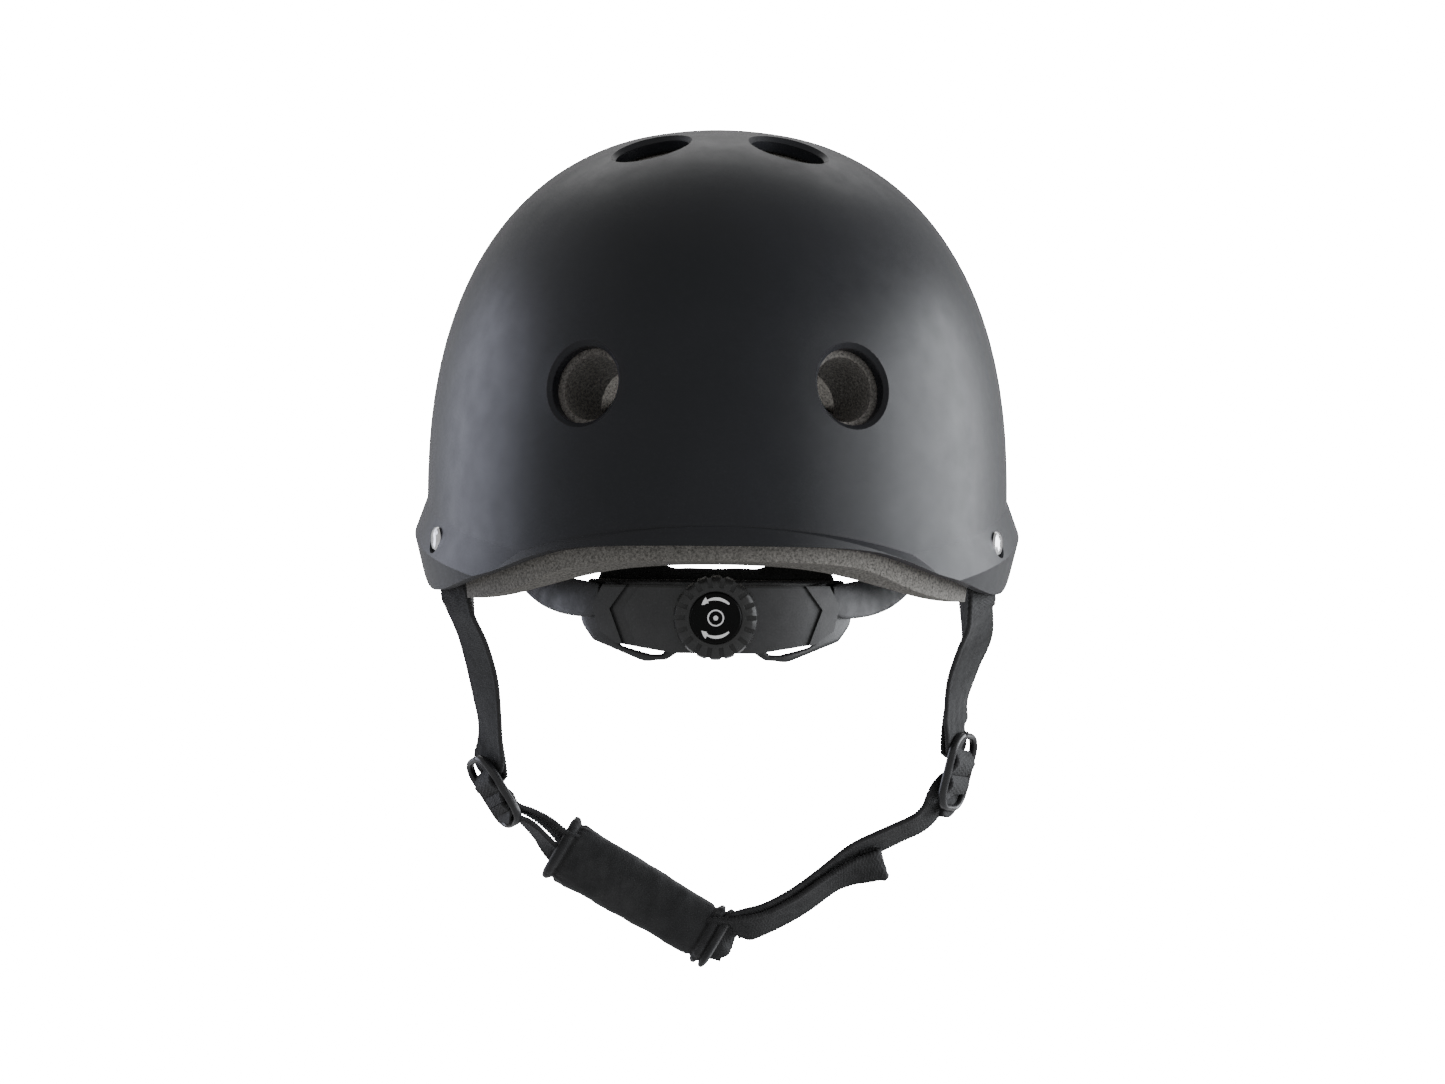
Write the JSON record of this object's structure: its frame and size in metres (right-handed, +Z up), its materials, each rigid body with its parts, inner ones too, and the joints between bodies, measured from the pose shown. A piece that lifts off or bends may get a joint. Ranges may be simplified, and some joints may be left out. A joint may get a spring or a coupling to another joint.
{
  "type": "water sports helmet",
  "caption": "Hard-shell water sports helmet with vents, foam liner, comfort pads, a rear dial that tightens a nape cradle, and a buckled chin strap with a soft chin sleeve",
  "frame": {"origin": "on the head's axis at the level of the shell's rear rim, where a head carries the helmet", "axes": "+X wearer's right, +Y forward, +Z up"},
  "size_m": [0.217, 0.261, 0.3009],
  "materials": {
    "shell_finish": "soft-touch matt",
    "liner_foam": "moulded foam, fine bead texture",
    "pad_cloth": "brushed",
    "hook_and_loop": "looped pile",
    "rivet_metal": "polished",
    "washer_plastic": "moulded",
    "housing_plastic": "satin",
    "cover_plastic": "moulded",
    "frame_plastic": "semi-gloss",
    "cradle_foam": "neoprene",
    "band_plastic": "satin nylon",
    "knob_plastic": "gloss",
    "cap_plastic": "satin, white printed arrows",
    "gear_plastic": "acetal",
    "steel": "plated",
    "divider_plastic": "satin",
    "chin_pad_cloth": "bound edges",
    "buckle_plastic": "semi-gloss",
    "webbing": "woven webbing"
  },
  "bodies": {
    "helmet": {"outer_shell": "shell_finish", "foam_liner": "liner_foam", "brow_pad": "pad_cloth", "rear_pad": "pad_cloth", "crown_pad": "pad_cloth", "left_side_pad": "pad_cloth", "right_side_pad": "pad_cloth", "pad_fasteners": "hook_and_loop", "strap_rivets": "rivet_metal", "rivet_washers": "washer_plastic", "left_band": "band_plastic", "right_band": "band_plastic", "left_band_anchor": "cover_plastic", "right_band_anchor": "cover_plastic", "left_rear_strap": "webbing", "right_rear_strap": "webbing", "left_front_strap": "webbing", "right_front_strap": "webbing"},
    "cradle": {"dial_housing": "housing_plastic", "housing_cover": "cover_plastic", "cradle_frame": "frame_plastic", "cradle_pad": "cradle_foam", "click_ring": "steel"},
    "dial": {"dial_knob": "knob_plastic", "dial_cap": "cap_plastic", "dial_pinion": "gear_plastic", "dial_screw": "steel"},
    "rack_left": {"left_rack": "band_plastic"},
    "rack_right": {"right_rack": "band_plastic"},
    "chin_strap": {"left_strap_divider": "divider_plastic", "right_strap_divider": "divider_plastic", "left_chin_strap": "webbing", "right_chin_strap": "webbing", "strap_loose_end": "webbing", "buckle_socket": "buckle_plastic"},
    "buckle_half": {"buckle_plug": "buckle_plastic"},
    "chin_sleeve": {"chin_pad": "chin_pad_cloth"}
  },
  "joints": [
    {"name": "dial_turn", "type": "hinge", "parent": "cradle", "child": "dial", "pos_m": [0, -0.108, -0.025], "axis": [0, 1, 0], "range_deg": [-180, 180]},
    {"name": "cradle_slide", "type": "slide", "parent": "helmet", "child": "cradle", "axis": [0, 1, 0], "range_m": [-0.006, 0.006], "deforming": ["left_band", "right_band"]},
    {"name": "left_rack_draw", "type": "hinge", "parent": "cradle", "child": "rack_left", "pos_m": [0, -0.032, -0.025], "axis": [0.1564, 0, 0.9877], "range_deg": [-9, 9]},
    {"name": "right_rack_draw", "type": "hinge", "parent": "cradle", "child": "rack_right", "pos_m": [0, -0.032, -0.025], "axis": [-0.1564, 0, 0.9877], "range_deg": [-9, 9]},
    {"name": "chin_strap_swing", "type": "hinge", "parent": "helmet", "child": "chin_strap", "pos_m": [0, 0.0045, -0.01], "axis": [1, 0, 0], "range_deg": [-25, 60], "deforming": ["left_rear_strap", "right_rear_strap", "left_front_strap", "right_front_strap"]},
    {"name": "buckle_release", "type": "slide", "parent": "chin_strap", "child": "buckle_half", "axis": [0.8676, 0, -0.4973], "range_m": [0, 0.022], "deforming": ["right_chin_strap", "strap_loose_end"]},
    {"name": "chin_pad_slide", "type": "slide", "parent": "chin_strap", "child": "chin_sleeve", "axis": [0.8676, 0, -0.4973], "range_m": [-0.005, 0]}
  ],
  "couplings": [
    {"joint": "cradle_slide", "follows": "dial_turn", "m_per_rad": 0.0018},
    {"joint": "left_rack_draw", "follows": "dial_turn", "ratio": 0.04448},
    {"joint": "right_rack_draw", "follows": "dial_turn", "ratio": -0.04535}
  ]
}
